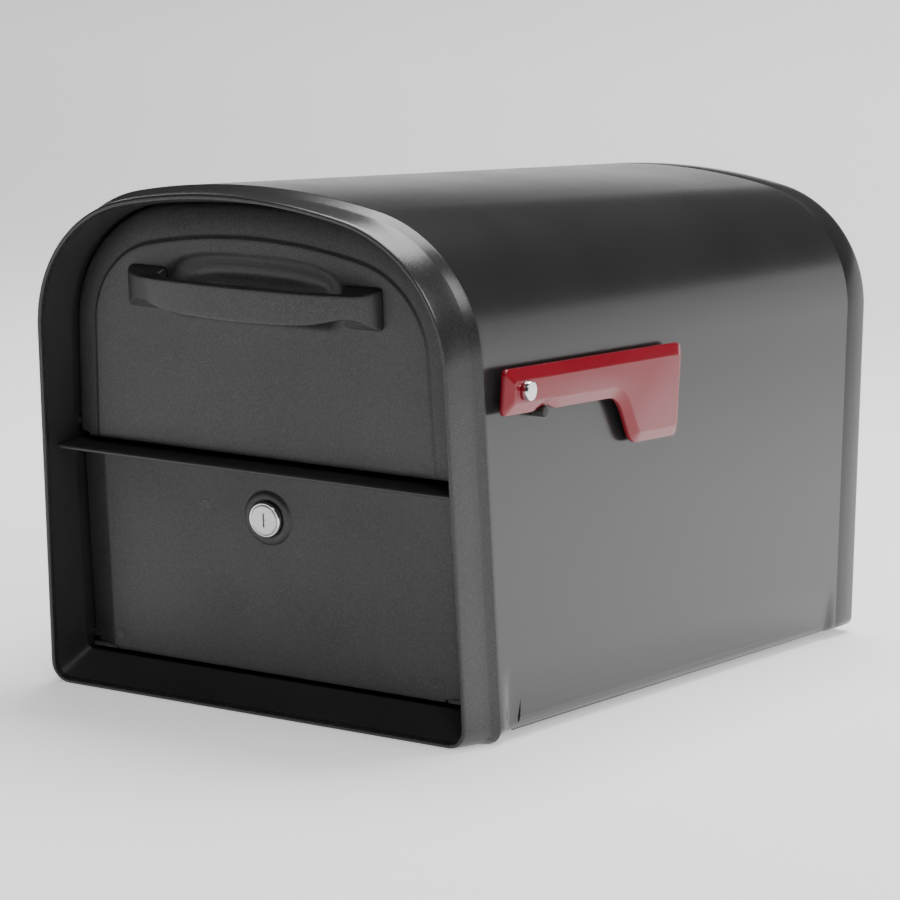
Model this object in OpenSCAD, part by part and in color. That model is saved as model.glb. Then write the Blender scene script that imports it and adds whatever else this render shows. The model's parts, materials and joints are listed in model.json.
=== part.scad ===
// Locking parcel mailbox for a post: steel body, hooded front with a tilting hopper
// door above a locked access door, and a signal flag on the right side.
// Origin: centre of the post bolt pattern, on the underside of the floor. +Y is to the back.

/* [Body] */
// Width of the body, measured at the floor
body_w = 295; // [285:1:305]
// Height of the crown above the underside of the floor
body_h = 295.5; // [290:0.5:302]
// Distance from the bottom of the front lip to the rear seam
body_len = 465; // [430:5:520]
// Lean of the side walls towards each other, in degrees
side_lean = 1.32; // [1:0.01:1.6]
// Height at which the shoulder curve starts
shoulder_z = 211; // [205:1:216]
// Radius of the shoulder curve
shoulder_r = 80; // [76:1:84]
// Radius of the bottom corners of the body
foot_r = 6; // [3:0.5:8]
// Thickness of the steel sheet
sheet = 1.2; // [1:0.1:1.5]

/* [Front] */
// Forward tilt of the front, in degrees
tilt = 8.6; // [6:0.1:9]
// Depth of the hood, from the lip to the body's edge
hood = 27.7; // [26:0.1:30]
// Full depth of the front bezel
bezel_d = 48; // [46:0.5:50]
// Thickness of the lip
lip = 3; // [2.4:0.1:3.6]
// How far the bezel hangs below the floor
drop = 4.5; // [3:0.1:6]

/* [Doors] */
// Depth of the hopper door's face behind the lip
hopper_face = 22; // [21:0.5:23]
// Height of the hopper door's bottom edge along the front
hopper_v = 147; // [146:0.5:148]
// Depth of the access door's face behind the lip
access_face = 25.7; // [25:0.1:26.5]
// Height of the access door's bottom edge along the front
access_v = 17.7; // [17:0.1:18.5]
// Radius of the steel hinge pins
pin_r = 3; // [2.5:0.1:3.5]
// Running clearance of the hinge pins
run_gap = 0.05; // [0.02:0.01:0.08]
// Radius of the hopper's side cheeks
cheek_r = 97; // [85:1:98]
// Width across the hopper's cheeks
cheek_w = 208; // [190:1:210]

/* [Handle] */
// Distance between the centres of the handle's feet
grip_span = 144; // [140:1:148]
// Side of each square foot
foot_size = 25; // [22:0.5:26]

/* [Lock] */
// Height of the lock's axis along the front
lock_v = 109.3; // [105:0.1:112]
// Outer radius of the lock's collar
collar_r = 10.3; // [9.5:0.1:11]
// Length of the cam from the lock's axis
cam_len = 29; // [27:0.5:30]

/* [Flag] */
// Length of the flag
flag_len = 208.5; // [180:0.5:215]
// Height of the flag at its pivot end
flag_h = 25.4; // [20:0.1:28]
// Thickness of the flag
flag_t = 5.6; // [4:0.1:6]
// Radius of the pivot screw's shank
pivot_r = 3; // [2.5:0.1:3.5]

/* [Post mount] */
// Spacing of the floor's bolt holes across the body
bolt_x = 82.55; // [60:0.05:100]
// Spacing of the floor's bolt holes along the body
bolt_y = 190.5; // [150:0.5:220]
// Radius of the floor's bolt holes
bolt_r = 3.6; // [3:0.1:4.5]

/* [Hidden] */
$fn = 48;

front_y = -245;
seam_y = front_y + body_len;
cap_d = 33;
cap_round = 9;
wide = body_w / 2;
gap = 0.4;
arc_steps = 12;

// Hinge lines, as [depth, height] along the tilted front
hopper_axis = [30, 151.5];
access_axis = [32, 22];
hopper_roll = 7.6;
access_roll = 7;
hopper_back = 33;
access_rim = 36;
access_stop = 39.4;
shelf_v = 141.8;
shelf_t = 2.4;
shelf_nose = 8.9;
strike_d = 43.6;
strike_t = 2;
stop_gap = 3;
guard_r = 104;
guard_from = 32;
guard_to = 74;
skin = 3.4;
grip_v = 237.8;
grip_slices = [[68, 8.4, 13, 8.7, -4.5], [61, 5.6, 10.6, 9.4, -5.2], [48, 2.3, 8.6, 9.7, -7.8],
    [30, 0.9, 7.4, 9.8, -9.2], [0, 0.3, 7, 9.8, -9.9]];
scoop_r = 214;
scoop_deep = 8;
scoop_high = 24;
tray_end = 96;
tray_drop = -20.6;
tray_lip = 7;
tray_w = cheek_w - 2.6;
plug_at = [[-43, 111.5], [43, 111.5], [-107.5, 26.5], [107.5, 26.5]];
liner_rivet_at = [[-100, 118], [100, 118], [-100, 50], [100, 50]];
floor_x = wide - foot_r - 0.2;
floor_y0 = front_y + bezel_d + 2;
floor_y1 = seam_y - 1;
bezel_screw_x = [-90, 0, 90];
bezel_screw_y = front_y + 40;
cap_screw_x = [-90, 90];
cap_screw_y = seam_y - 7;

// Flag, on the right side
pivot_y = -220.4;
pivot_z = 194;
flag_back = 147.3;
stop_y = -193.4;
stop_z = 180;
stop_r = 3.2;
side_x = side_at(pivot_z);

black = [0.03, 0.03, 0.03];
charcoal = [0.27, 0.27, 0.28];
steel = [0.6, 0.6, 0.62];
chrome = [0.85, 0.85, 0.87];
red = [0.45, 0.02, 0.06];

// Half width of the body at a height
function side_at(z) = wide - tan(side_lean) * z;

// Right half of an arch, from the shoulder's start to the crown: a shoulder arc that
// leaves the leaning side, then a crown arc centred on the middle plane
function arch_half(w, z, r, crown, lean = side_lean) =
    let (cx = w - tan(lean) * z - r * cos(lean), cz = z - r * sin(lean), k = cz - crown,
        big = (r * r - cx * cx - k * k) / (2 * (k + r)),
        join = atan2(cz - crown + big, cx))
    concat(
        [for (i = [0:arc_steps]) let (a = lean + (join - lean) * i / arc_steps)
            [cx + r * cos(a), cz + r * sin(a)]],
        [for (i = [1:arc_steps]) let (a = join + (90 - join) * i / arc_steps)
            [big * cos(a), crown - big + big * sin(a)]]);

// Arc of a rounded bottom corner
function foot_arc(x, z, r, lean = side_lean) =
    [for (i = [0:6]) let (a = -90 + (90 + lean) * i / 6) [x - r + r * cos(a), z + r + r * sin(a)]];

// Closes a right half outline across the middle plane
function both(half) = concat(half, [for (i = [len(half) - 2:-1:0]) [-half[i][0], half[i][1]]]);

// Body outline, drawn in by a distance
function body_pts(inset, base = 0) = both(concat(
    foot_arc(wide - inset, base, max(foot_r - inset, 1.5)),
    arch_half(wide - inset, shoulder_z, shoulder_r - inset, body_h - inset)));

// The same outline where the tilted front cuts it at a depth, down to the bezel's foot
function front_cut(inset, d, base, r) = both(concat(
    [for (p = foot_arc(wide - inset, base, r)) p],
    [for (p = arch_half(wide - inset, shoulder_z, shoulder_r - inset, body_h - inset))
        [p[0], (p[1] + drop - d * sin(tilt)) / cos(tilt)]]));

// Front lip outline, drawn in by a distance
function lip_pts(inset, base = 0) = both(concat(
    foot_arc(wide - 6.8 - inset, base, 12 - min(inset, 4)),
    [for (p = arch_half(wide - 6.8 - inset, 210, 81 - inset, 295.2 - inset))
        [p[0], p[1] / cos(tilt)]]));

// The same arch above the shelf only
function hood_pts(inset) = both(concat(
    [[wide - 6.8 - inset - tan(side_lean) * shelf_v, shelf_v - 2.2]],
    [for (p = arch_half(wide - 6.8 - inset, 210, 81 - inset, 295.2 - inset))
        [p[0], p[1] / cos(tilt)]]));

// Hopper door outline, drawn in by a distance
function hopper_pts(inset, base = hopper_v) = both(concat(
    [[137 - tan(2.6) * base - inset, base]],
    arch_half(137 - inset, 211, 78 - inset, 288.5 - inset, 2.6)));

// Raised middle panel of the hopper door
function panel_pts(inset, base = hopper_v) = both(concat(
    [[117.9 - tan(2.2) * base - inset, base]],
    arch_half(117.9 - inset, 214, 51 - inset, 269.6 - inset, 2.2)));

// Closed slab of an outline between two depths, standing across the Y axis
module slab(pts, d0, d1) {
    translate([0, d1, 0]) rotate([90, 0, 0]) linear_extrude(d1 - d0) polygon(pts);
}

// Profile in depth and height, drawn out across the width and centred
module bar(pts, w) {
    rotate([90, 0, 90]) translate([0, 0, -w / 2]) linear_extrude(w) polygon(pts);
}

// Frame of the tilted front: X across, Y into the box, Z up along the front
module on_front() {
    translate([0, front_y, -drop]) rotate([tilt, 0, 0]) children();
}

// Round bar along X
module across(r, x0, x1) {
    translate([x0, 0, 0]) rotate([0, 90, 0]) cylinder(r = r, h = x1 - x0);
}

// Round bar along the depth
module inward(r, d0, d1) {
    translate([0, d1, 0]) rotate([90, 0, 0]) cylinder(r = r, h = d1 - d0);
}

// Rolled bottom edge of a door: the part of a round bar that lies below a height
module hinge_roll(r, half_w, top) {
    intersection() {
        across(r, -half_w, half_w);
        translate([-half_w, -r, -2 * r]) cube([2 * half_w, 2 * r, 2 * r + top + 0.1]);
    }
}

module at_hopper_axis() {
    translate([0, hopper_axis[0], hopper_axis[1]]) children();
}

module at_access_axis() {
    translate([0, access_axis[0], access_axis[1]]) children();
}

module both_sides() {
    children();
    mirror([1, 0, 0]) children();
}

// ---- Housing ----

// Steel body, open at both ends, cut along the tilted front
module body_shell() color(black) difference() {
    difference() {
        slab(body_pts(0), front_y - 30, seam_y);
        slab(body_pts(sheet, sheet), front_y - 31, seam_y + 1);
        translate([foot_r - wide, front_y - 31, -1]) cube([2 * (wide - foot_r), body_len + 40, 3]);
    }
    on_front() translate([-200, hood - 200, -100]) cube([400, 200, 500]);
    translate([0, pivot_y, pivot_z]) across(5, side_x - 10, side_x + 10);
    translate([0, stop_y, stop_z]) across(2.5, side_x - 10, side_x + 10);
}

// Floor plate with upturned sides, spot-welded inside the body
module floor_pan() color(black) difference() {
    union() {
        translate([-floor_x, floor_y0, 0]) cube([2 * floor_x, floor_y1 - floor_y0, 1.5]);
        translate([-120, floor_y0 - 18, 0]) cube([240, 19, 1.5]);
        both_sides() translate([0, floor_y1, 0]) rotate([90, 0, 0])
            linear_extrude(floor_y1 - floor_y0) polygon([for (p = [[-3.3, 1.4], [0, 1.4],
                [3.6, 5.2], [4.3, 8], [4.1, 18], [2.6, 18], [2.8, 8.4], [2.3, 6.2], [-0.7, 3],
                [-3.3, 3]]) [floor_x + p[0], p[1]]]);
    }
    for (x = [-1, 1], y = [-1, 1])
        translate([x * bolt_x / 2, y * bolt_y / 2, -1]) cylinder(r = bolt_r, h = 4);
    for (x = bezel_screw_x) translate([x, bezel_screw_y, 0]) floor_screw(4);
    for (x = cap_screw_x) translate([x, cap_screw_y, 0]) floor_screw(4);
}

// Rear closure with a rounded edge and a collar that slides into the body
module rear_cap() color(black) difference() {
    union() {
        hull() for (i = [0:4]) let (a = 90 * i / 4)
            slab(body_pts(cap_round * (1 - cos(a)), cap_round * (1 - cos(a)) * 0.6),
                seam_y + cap_d - cap_round + cap_round * sin(a) - 0.05,
                seam_y + cap_d - cap_round + cap_round * sin(a));
        slab(body_pts(0), seam_y, seam_y + cap_d - cap_round);
        slab(body_pts(sheet + gap, 1.8), seam_y - 12, seam_y + 1);
    }
    both_sides() translate([119, seam_y - 13, 0]) cube([30, 13, 22]);
    for (x = cap_screw_x) translate([x, cap_screw_y, -1]) cylinder(r = 1.65, h = 8);
    slab(body_pts(sheet + gap + 2.5, 4.6), seam_y - 13, seam_y + cap_d - cap_round);
    hull() for (i = [0:2]) let (a = 90 * i / 2)
        slab(body_pts(4.1 + 6 * (1 - cos(a)), 4.6 + 3 * (1 - cos(a))),
            seam_y + cap_d - cap_round - 0.1 + 6 * sin(a),
            seam_y + cap_d - cap_round + 6 * sin(a));
}

// Countersunk screw from below, flush with the floor
module floor_screw(h) {
    cylinder(r1 = 3.1, r2 = 1.6, h = 1.5);
    translate([0, 0, 1]) cylinder(r = 1.6, h = h - 1);
}

// Screws through the floor into the rear cap's collar
module cap_screws() color(black)
    for (x = cap_screw_x) translate([x, cap_screw_y, 0]) floor_screw(4);

// Hooded front frame: outer skin with a flared rear edge, collar inside the body,
// two door openings and the holes for the hinge pins
module front_bezel() color(charcoal) difference() {
    union() {
        bezel_frame();
        for (x = bezel_screw_x) translate([x, bezel_screw_y, 1.55]) cylinder(r = 4, h = 9);
    }
    for (x = bezel_screw_x) translate([x, bezel_screw_y, 0]) cylinder(r = 1.65, h = 9);
}

module bezel_frame() on_front() difference() {
    union() {
        hull() {
            slab(lip_pts(0.9, 0.9), 0, 0.05);
            slab(lip_pts(0, 0), 1.2, 1.25);
            slab(front_cut(3.4, 21, -21 * tan(tilt), 11), 21, 21.05);
        }
        hull() {
            slab(front_cut(3.4, 21, -21 * tan(tilt), 11), 21, 21.05);
            slab(front_cut(0, hood, -hood * tan(tilt), 10), hood - 1, hood);
        }
        slab(collar_pts(0), hood - 0.5, bezel_d);
    }
    hull() {
        slab(hood_pts(lip - 0.8), -0.05, 0);
        slab(hood_pts(lip), 1.5, 1.55);
        slab(hopper_pts(-1.1, shelf_v - 2.2), hopper_face, hopper_face + 0.05);
    }
    slab(hopper_pts(-1.1, shelf_v - 2.2), hopper_face, hopper_back + stop_gap);
    slab(hopper_pts(6, shelf_v - 2.2), hopper_face, bezel_d + 1);
    hull() {
        slab(low_pts(wide - 6.8 - lip + 0.8, lip - 0.8, 0.023, 9.8), -0.05, 0);
        slab(low_pts(wide - 6.8 - lip, lip, 0.023, 9), 1.5, 1.55);
        slab(low_pts(131.2, 14, 0), access_face, access_face + 0.05);
    }
    slab([[-131.2, 13.2], [131.2, 13.2], [131.2, 140.5], [-131.2, 140.5]],
        access_face, access_stop);
    slab([[-120, 30], [120, 30], [120, 141], [-120, 141]], access_face, bezel_d + 1);
    at_hopper_axis() {
        across(hopper_roll + 0.8, -131.2, 131.2);
        across(pin_r + 0.02, -137.5, 137.5);
    }
    at_access_axis() across(pin_r + 0.02, -137.5, 137.5);
    nut_room();
}

// Part of the bezel that sits inside the body
function collar_pts(extra) = both(concat(
    foot_arc(wide - 2.2 - extra, 6.5 + extra, 6),
    [for (p = arch_half(wide - 2 - extra, shoulder_z, shoulder_r - 2 - extra, body_h - 2 - extra))
        [p[0], (p[1] + drop - bezel_d * sin(tilt)) / cos(tilt)]]));

// Access opening outline: rounded bottom corners, flat top below the shelf
function low_pts(w, base, slope, r = 5) = both(concat(
    foot_arc(w - slope * base, base, r, 0), [[w - slope * 140.5, 140.5]], [[0, 140.5]]));

// Pocket behind the flag's nut
module nut_room() {
    translate([122, 45.5, 182]) cube([30, 10, 22]);
}

// Screws through the floor's front tongue into the bezel's bosses
module bezel_screws() color(black)
    for (x = bezel_screw_x) translate([x, bezel_screw_y, 0]) floor_screw(7);

// Shelf between the doors: rounded nose, flat top and a flange for the lock to hold
module divider_shelf() color(black) on_front() difference() {
    union() {
        intersection() {
            union() {
                bar([[shelf_nose + 1.2, shelf_v - shelf_t], [strike_d + 2.2, shelf_v - shelf_t],
                    [strike_d + 2.2, shelf_v], [shelf_nose + 1.2, shelf_v]], 280);
                translate([0, shelf_nose + 1.2, shelf_v - shelf_t / 2]) across(shelf_t / 2, -140, 140);
            }
            translate([0, 0, 100]) linear_extrude(60) polygon([[-133.1, 8], [133.1, 8],
                [130.9, 22], [130.9, 34], [119.8, 34], [119.8, 60], [-119.8, 60], [-119.8, 34],
                [-130.9, 34], [-130.9, 22]]);
        }
        bar([[strike_d, 124], [strike_d + 2.2, 124], [strike_d + 2.2, shelf_v - 1],
            [strike_d, shelf_v - 1]], 239);
    }
    strike_holes();
}

module strike_holes() {
    both_sides() translate([14, 0, 131]) inward(1.6, 35, 55);
}

// Rivets that hold the strike to the shelf's flange
module strike_rivets() color(steel) on_front() both_sides() translate([14, 0, 131]) {
    inward(1.55, strike_d - 0.5, strike_d + 2.2 + strike_t);
    inward(3, strike_d - 1.2, strike_d);
}

// Steel plate behind which the cam turns
module lock_strike() color(steel) on_front() difference() {
    translate([-22, strike_d + 2.2, 124.5]) cube([44, strike_t, 13]);
    strike_holes();
}

// Curved guard over the hopper, with a flange along the body's inside: it keeps hands out
// of the locked space when the hopper is open
module guard_baffle() color(steel) {
    intersection() {
        slab(body_pts(sheet + 0.3), front_y - 20, seam_y);
        on_front() at_hopper_axis() guard_strip(1.2);
    }
    intersection() {
        difference() {
            slab(body_pts(sheet + 0.3), front_y - 20, seam_y);
            slab(body_pts(sheet + 1.5, -5), front_y - 21, seam_y + 1);
        }
        on_front() at_hopper_axis() guard_strip(10);
    }
}

// Guard's profile, thickened outwards: an arc about the hinge and an upright to the roof
module guard_strip(t) {
    bar(concat(
        [for (a = [guard_from:7:guard_to]) guard_r * [cos(a), sin(a)]],
        [[guard_r * cos(guard_to), 170], [guard_r * cos(guard_to) + t, 170],
            [guard_r * cos(guard_to) + t, (guard_r + t) * sin(guard_to)]],
        [for (a = [guard_to - 7:-7:guard_from]) (guard_r + t) * [cos(a), sin(a)]]), 300);
}

// Steel pins that the hopper door turns on
module hopper_pins() color(black) on_front() both_sides() at_hopper_axis()
    across(pin_r, 116, 137);

// Steel pins that the access door turns on
module access_pins() color(black) on_front() both_sides() at_access_axis()
    across(pin_r, 116, 137);

// Rubber stops that the doors close against
module door_bumpers() color(black) on_front() both_sides() {
    translate([124.6, 0, 200]) inward(2.4, hopper_back + 0.1, hopper_back + stop_gap);
    translate([126.4, 0, 124]) inward(2.4, access_rim + 0.1, access_stop);
}

// ---- Flag mount ----

// Flanged post in the side wall
module flag_post() color(black) translate([0, pivot_y, pivot_z]) difference() {
    union() {
    across(4.9, side_x - 3, side_x + 0.6);
        across(8, side_x + 0.3, side_x + 2.4);
    }
    across(pivot_r + 0.02, side_x - 5, side_x + 10);
}

// Barrel head and shank of the flag's pivot
module flag_screw() color(chrome) translate([0, pivot_y, pivot_z]) {
    across(pivot_r, side_x - 14, flag_back + flag_t + 0.5);
    across(5.4, flag_back + flag_t + 0.4, flag_back + flag_t + 4.4);
}

// Spring washer that keeps the flag where it is set
module spring_washer() color(steel) translate([0, pivot_y, pivot_z]) difference() {
    across(6.5, side_x + 2.45, flag_back - 0.05);
    across(pivot_r + 0.3, side_x, flag_back + 1);
}

// Nut inside the wall
module flag_nut() color(steel) translate([0, pivot_y, pivot_z]) difference() {
    rotate([0, 90, 0]) translate([0, 0, side_x - 8.2]) cylinder(r = 6.2, h = 4.5, $fn = 6);
    across(pivot_r + 0.02, side_x - 20, side_x);
}

// Pin under the flag's notch: the lowered flag rests over it
module flag_stop() color(black) translate([0, stop_y, stop_z]) {
    across(2.45, side_at(stop_z) - 4, side_at(stop_z) + 1);
    across(stop_r, side_at(stop_z) + 0.1, flag_back + flag_t - 1.5);
}

// ---- Hopper ----

// Cast door with a rolled border, a raised panel, a finger scoop and foot sockets
module hopper_door() color(charcoal) on_front() difference() {
    union() {
        hull() {
            slab(panel_pts(-1), hopper_face + 1, hopper_face + 1.05);
            slab(hopper_pts(4), hopper_face + 3.2, hopper_face + 3.25);
            slab(hopper_pts(0.6), hopper_face + 6.5, hopper_face + 6.55);
            slab(hopper_pts(0), hopper_face + 8.5, hopper_back);
        }
        slab(panel_pts(0), hopper_face, hopper_face + 4);
        at_hopper_axis() hinge_roll(hopper_roll, 121, hopper_v - hopper_axis[1]);
        translate([-121, 23.7, 144.7]) cube([242, 4, 2.5]);
    }
    difference() {
        slab(hopper_pts(9, hopper_v + 13), hopper_face + skin, hopper_back + 1);
        scoop(skin);
        for (s = [-1, 1]) translate([s * grip_span / 2, 0, grip_v])
            inward(7, hopper_face, hopper_face + skin + 2);
    }
    scoop(0);
    for (s = [-1, 1]) translate([s * grip_span / 2, 0, grip_v]) {
        translate([-foot_size / 2 - 0.6, hopper_face - 1, -foot_size / 2 - 0.6])
            cube([foot_size + 1.2, 2.2, foot_size + 1.2]);
        inward(2.2, hopper_face, hopper_back);
    }
    at_hopper_axis() both_sides() across(pin_r + run_gap, 115.5, 140);
}

// Shallow pillow-shaped hollow behind the grip, grown by a thickness
module scoop(t) {
    roll_r = (scoop_high * scoop_high + scoop_deep * scoop_deep) / (2 * scoop_deep);
    translate([0, hopper_face + scoop_deep, grip_v]) intersection() {
        translate([0, -scoop_r, 0]) sphere(r = scoop_r + t, $fn = 96);
        translate([0, -roll_r, 0]) across(roll_r + t, -80, 80);
        translate([-80, -scoop_deep - 10, -40]) cube([160, 30, 80]);
    }
}

// Bow handle: square feet, tapering legs and a flat grip
module hopper_handle() color(charcoal) on_front() translate([0, 0, grip_v]) difference() {
    union() {
        both_sides() {
            hull() {
                foot_plate(foot_size, hopper_face + 0.4);
                foot_plate(foot_size - 1, hopper_face - 2);
            }
            hull() {
                foot_plate(foot_size - 3, hopper_face - 2.2);
                grip_slice(grip_slices[0]);
            }
            for (i = [0:3]) hull() {
                grip_slice(grip_slices[i]);
                grip_slice(grip_slices[i + 1]);
            }
        }
    }
    both_sides() translate([grip_span / 2, 0, 0]) inward(2.15, hopper_face - 9, hopper_face + 2);
}

// Thin slice across the grip: position, front and back depth, upper and lower edge
module grip_slice(s) {
    translate([s[0] - 0.5, s[1], s[4]]) cube([1, s[2] - s[1], s[3] - s[4]]);
}

// Square plate of one foot, at a depth
module foot_plate(size, d) {
    translate([(grip_span - size) / 2, d, -size / 2]) cube([size, 0.7, size]);
}

// Screws from inside the door into the handle's feet
module handle_screws() color(steel) on_front() for (s = [-1, 1])
    translate([s * grip_span / 2, 0, grip_v]) {
        inward(2.1, hopper_face - 8, hopper_face + skin + 3);
        inward(4.5, hopper_face + skin + 2, hopper_face + skin + 4.2);
    }

// Back wall of the hopper: it runs from the hinge to the rear, with upturned edges
module hopper_tray() color(steel) on_front() at_hopper_axis() rotate([tray_drop, 0, 0])
    difference() {
        bar([[8, -1.2], [tray_end, -1.2], [tray_end, tray_lip], [8, tray_lip]], tray_w);
        bar([[7, 0], [tray_end - 1.2, 0], [tray_end - 1.2, 20], [7, 20]], tray_w - 2.4);
        rivet_line(1.6);
    }

// Holes or shanks along the tray's side flanges
module rivet_line(r) {
    for (d = [22, 50, 78]) translate([0, d, 4]) across(r, -cheek_w, cheek_w);
}

// One side cheek: a sector from the door to the back wall
module cheek(x) on_front() at_hopper_axis() difference() {
    translate([x, 0, 0]) rotate([90, 0, 90]) linear_extrude(1.2) polygon(concat(
        [[hopper_face + skin - hopper_axis[0], hopper_roll + 1], [5, hopper_roll + 1], [9, -2]],
        [for (i = [0:10]) let (a = tray_drop + 0.5 + (86.5 - tray_drop) * i / 10)
            cheek_r * [cos(a), sin(a)]],
        [[hopper_face + skin - hopper_axis[0], cheek_r - 1]]));
    rotate([tray_drop, 0, 0]) rivet_line(1.6);
}

module left_cheek() color(steel) cheek(-cheek_w / 2);
module right_cheek() color(steel) cheek(cheek_w / 2 - 1.2);

// Rivets that join the cheeks to the tray's flanges
module tray_rivets() color(steel) on_front() at_hopper_axis() rotate([tray_drop, 0, 0])
    both_sides() for (d = [22, 50, 78]) translate([cheek_w / 2, d, 4]) {
        across(1.55, -3.4, 0.2);
        across(2.8, 0.05, 1.2);
    }

// ---- Access door ----

// Plain door with bevelled sides, a ring boss for the lock and hinge knuckles
module access_door() color(charcoal) on_front() difference() {
    union() {
        hull() {
            slab([[-112.3, access_v], [112.3, access_v], [112.3, 138.2], [-112.3, 138.2]],
                access_face, access_face + 0.05);
            slab([[-130, access_v], [130, access_v], [130, 138.2], [-130, 138.2]],
                access_face + 5.2, access_rim);
        }
        translate([0, 0, lock_v]) inward(15.4, access_face - 1.8, access_face + 2);
        at_access_axis() hinge_roll(access_roll, 112, access_v - access_axis[1]);
        translate([-112, 26.6, 15.9]) cube([224, 3, 1.9]);
        both_sides() translate([113.2, 28, 15.6]) cube([16, 7, 2.2]);
    }
    difference() {
        slab(liner_pts(-0.5), access_face + 5.4, access_rim + 5);
        for (p = liner_rivet_at) translate([p[0], 0, p[1]]) inward(4.5, 0, access_rim - 1.6);
    }
    translate([0, 0, lock_v]) inward(9, access_face - 10, access_rim + 2);
    for (p = plug_at) translate([p[0], 0, p[1]]) inward(4.05, access_face - 1, access_face + 0.6);
    for (p = liner_rivet_at) translate([p[0], 0, p[1]]) inward(1.6, access_face + 3, 60);
    at_access_axis() both_sides() across(pin_r + run_gap, 115.5, 140);
}

// Rectangle inside the access door's rim
function liner_pts(inset) = [[-124 + inset, access_v + 14 + inset],
    [124 - inset, access_v + 14 + inset], [124 - inset, 134 - inset], [-124 + inset, 134 - inset]];

// Steel inner plate
module access_liner() color(steel) on_front() difference() {
    slab(liner_pts(0), access_rim - 1.5, access_rim);
    translate([0, 0, lock_v]) inward(9, 10, access_rim + 1);
    for (p = liner_rivet_at) translate([p[0], 0, p[1]]) inward(1.6, 10, 60);
}

// Rivets that hold the inner plate to the door's bosses
module liner_rivets() color(steel) on_front()
    for (p = liner_rivet_at) translate([p[0], 0, p[1]]) {
        inward(1.55, access_face + 3.2, access_rim + 0.2);
        inward(3, access_rim + 0.05, access_rim + 1.1);
    }

// Flat plugs in the door's face
module access_plugs() color(charcoal) on_front()
    for (p = plug_at) translate([p[0], 0, p[1]]) inward(4, access_face - 0.15, access_face + 0.6);

// Body of the cam lock, with its collar
module lock_housing() color(chrome) on_front() translate([0, 0, lock_v]) difference() {
    union() {
        inward(collar_r, access_face - 4.8, access_face - 1.8);
        inward(8.9, access_face - 2, 46);
    }
    inward(8.65, access_face - 6, access_face - 2.6);
    inward(6.05, access_face - 6, 50);
}

// Nut that clamps the lock from inside
module lock_nut() color(steel) on_front() translate([0, 0, lock_v]) difference() {
    translate([0, access_rim + 0.05, 0]) rotate([-90, 0, 0]) cylinder(r = 12.7, h = 4, $fn = 6);
    inward(8.95, 20, 60);
}

// ---- Lock plug ----

// Turning plug with its keyway
module lock_plug() color(chrome) on_front() translate([0, 0, lock_v]) difference() {
    union() {
        inward(8.6, access_face - 5.2, access_face - 2.7);
        inward(6, access_face - 3, 48.2);
    }
    translate([-1.1, access_face - 6, -4]) cube([2.2, 18, 8]);
    inward(1.6, 44, 50);
}

// Cam: it points aside when the lock is open
module lock_cam() color(steel) on_front() translate([0, 48.3, lock_v]) difference() {
    union() {
        inward(7.5, 0, 2);
        translate([0, 0, -5.5]) cube([cam_len - 5.5, 2, 11]);
        translate([cam_len - 5.5, 0, 0]) inward(5.5, 0, 2);
    }
    inward(1.6, -1, 3);
}

// Screw that holds the cam to the plug
module cam_screw() color(steel) on_front() translate([0, 0, lock_v]) {
    inward(1.55, 44.2, 50.5);
    inward(4, 50.35, 52.5);
}

// Small sprung cover that closes the keyway
module keyway_shutter() color(steel) on_front() translate([0, 0, lock_v])
    translate([-0.95, access_face - 3.6, -3.8]) cube([1.9, 1, 7.6]);

// ---- Flag body ----

notch_r = 22;
heel = 18;
flag_low = -13.4;
flag_top = flag_low + flag_h;
tip = flag_len - heel;

// Blade outline in Y and Z from its pivot: a straight arm, then a drop to the tip
flag_pts = [[-heel, flag_low + 3.5], [3.5 - heel, flag_low], [tip - 86, flag_low + 0.2],
    [tip - 77, flag_low - 1.7], [tip - 70, flag_low - 7.5], [tip - 60, flag_low - 24],
    [tip - 54, flag_low - 28], [tip - 8, flag_low - 28.2], [tip, flag_low - 20],
    [tip, flag_top - 6], [tip - 7, flag_top + 1.6], [3.5 - heel, flag_top],
    [-heel, flag_top - 3.5]];

// Signal flag: it lies along the side and swings up
module flag() color(red) difference() {
    translate([flag_back, pivot_y, pivot_z]) rotate([90, 0, 90]) linear_extrude(flag_t)
        polygon(flag_pts);
    translate([0, pivot_y, pivot_z]) across(4.2, flag_back - 1, flag_back + flag_t + 1);
    translate([0, stop_y, stop_z + stop_r + 0.4 - notch_r])
        across(notch_r, flag_back - 1, flag_back + flag_t + 1);
}

// Bush that turns on the pivot screw
module flag_bush() color(black) translate([0, pivot_y, pivot_z]) difference() {
    across(4.15, flag_back, flag_back + flag_t);
    across(pivot_r + run_gap, flag_back - 1, flag_back + flag_t + 1);
}

body_shell();
floor_pan();
rear_cap();
cap_screws();
front_bezel();
bezel_screws();
divider_shelf();
lock_strike();
strike_rivets();
guard_baffle();
hopper_pins();
access_pins();
door_bumpers();
flag_post();
flag_screw();
spring_washer();
flag_nut();
flag_stop();
hopper_door();
hopper_handle();
handle_screws();
hopper_tray();
left_cheek();
right_cheek();
tray_rivets();
access_door();
access_liner();
access_plugs();
liner_rivets();
lock_housing();
lock_nut();
lock_plug();
lock_cam();
cam_screw();
keyway_shutter();
flag();
flag_bush();
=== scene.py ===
import json
from math import atan2, cos, pi, radians, sin, sqrt, tan

import bmesh
import bpy
from mathutils import Matrix, Vector

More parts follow.
